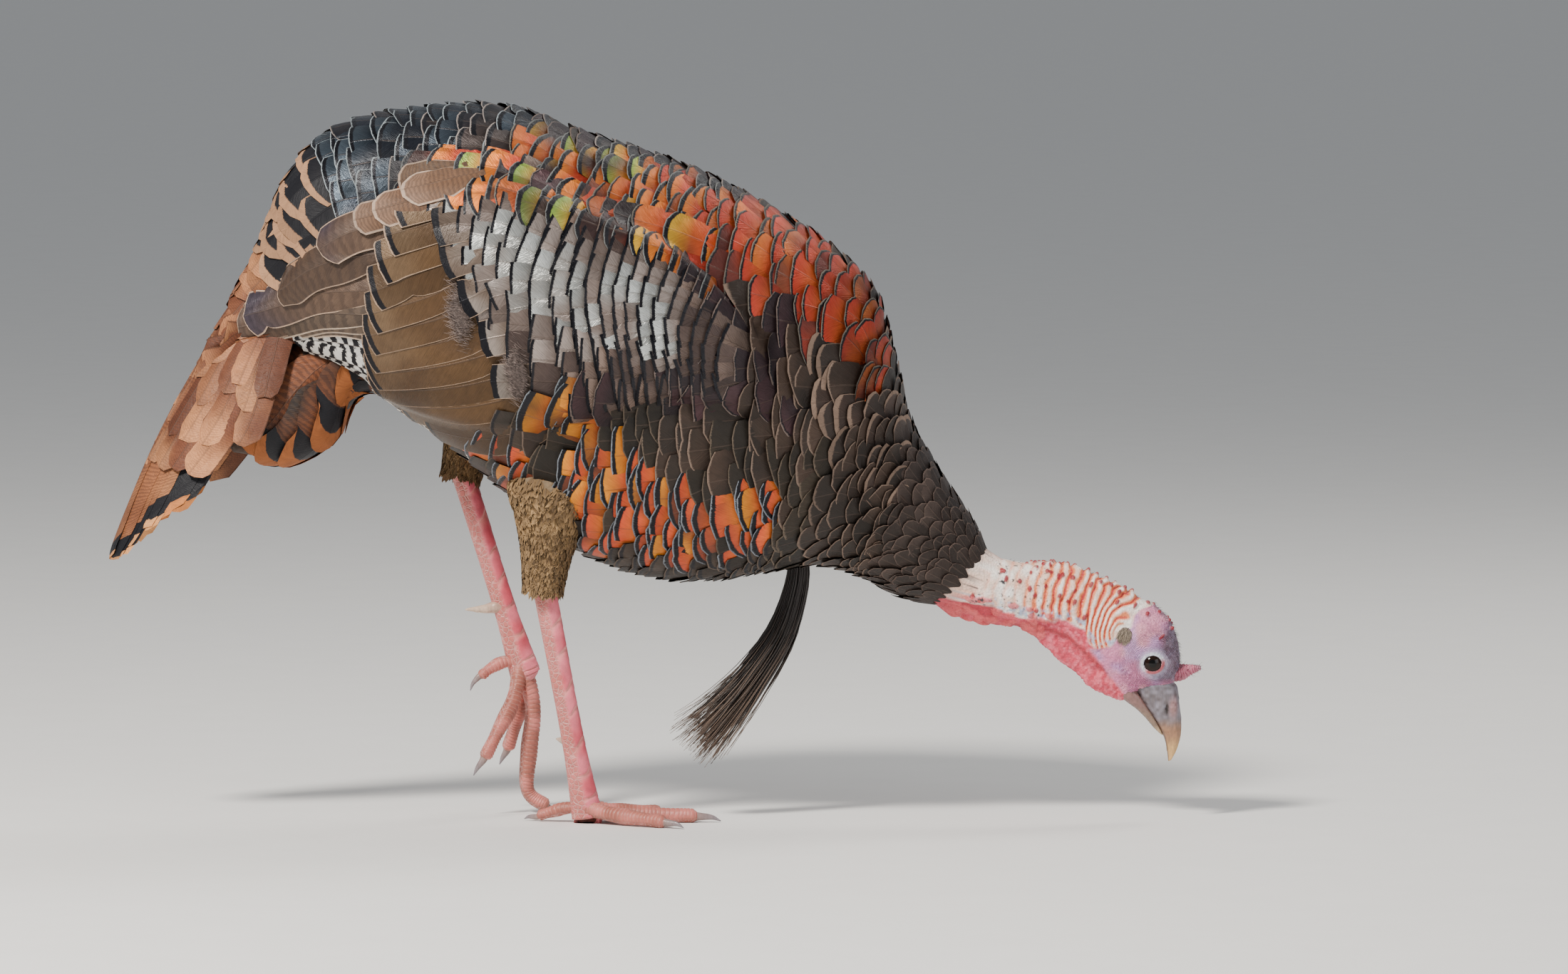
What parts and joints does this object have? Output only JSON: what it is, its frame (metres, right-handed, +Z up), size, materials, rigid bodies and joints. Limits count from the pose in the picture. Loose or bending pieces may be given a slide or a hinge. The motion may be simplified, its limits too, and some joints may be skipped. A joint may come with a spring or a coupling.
{
  "type": "wild turkey figure",
  "caption": "Still, life-size figure of a male wild turkey walking with its head lowered to feed, one foot planted and the other trailing.",
  "frame": {"origin": "on the floor, under the middle of the overall box", "axes": "+X the way the bird faces, +Y its left side, +Z up"},
  "size_m": [0.8646, 0.2792, 0.5715],
  "materials": {
    "plumage_bronze": "satin",
    "plumage_dark": "satin",
    "plumage_black": "satin",
    "wing_bronze": "satin",
    "wing_brown": "satin",
    "wing_barred": "matte",
    "tail_chestnut": "matte",
    "thigh_down": "matte",
    "bristle": "satin",
    "neck_skin": "satin",
    "wattle_skin": "satin",
    "head_skin": "satin",
    "leg_skin": "satin",
    "horn": "satin",
    "eye": "gloss"
  },
  "bodies": {
    "root": {"beard": "bristle", "claw_hind_left": "horn", "claw_hind_right": "horn", "claw_inner_left": "horn", "claw_inner_right": "horn", "claw_middle_left": "horn", "claw_middle_right": "horn", "claw_outer_left": "horn", "claw_outer_right": "horn", "eye_left": "eye", "eye_right": "eye", "feathered_neck": "plumage_dark", "head": "head_skin", "lower_bill": "horn", "neck": "neck_skin", "neck_caruncles": "wattle_skin", "rump_coverts": "plumage_black", "shank_left": "leg_skin", "shank_right": "leg_skin", "snood": "wattle_skin", "spur_left": "horn", "spur_right": "horn", "tail_fan": "tail_chestnut", "thigh_left": "thigh_down", "thigh_right": "thigh_down", "throat_wattle": "wattle_skin", "toe_hind_left": "leg_skin", "toe_hind_right": "leg_skin", "toe_inner_left": "leg_skin", "toe_inner_right": "leg_skin", "toe_middle_left": "leg_skin", "toe_middle_right": "leg_skin", "toe_outer_left": "leg_skin", "toe_outer_right": "leg_skin", "trunk": "plumage_bronze", "under_tail_coverts": "tail_chestnut", "upper_bill": "horn", "wing_coverts_left": "wing_bronze", "wing_coverts_right": "wing_bronze", "wing_primaries_left": "wing_barred", "wing_primaries_right": "wing_barred", "wing_secondaries_left": "wing_brown", "wing_secondaries_right": "wing_brown", "wing_shoulder_left": "wing_bronze", "wing_shoulder_right": "wing_bronze", "wing_tertials_left": "wing_brown", "wing_tertials_right": "wing_brown"}
  },
  "joints": []
}
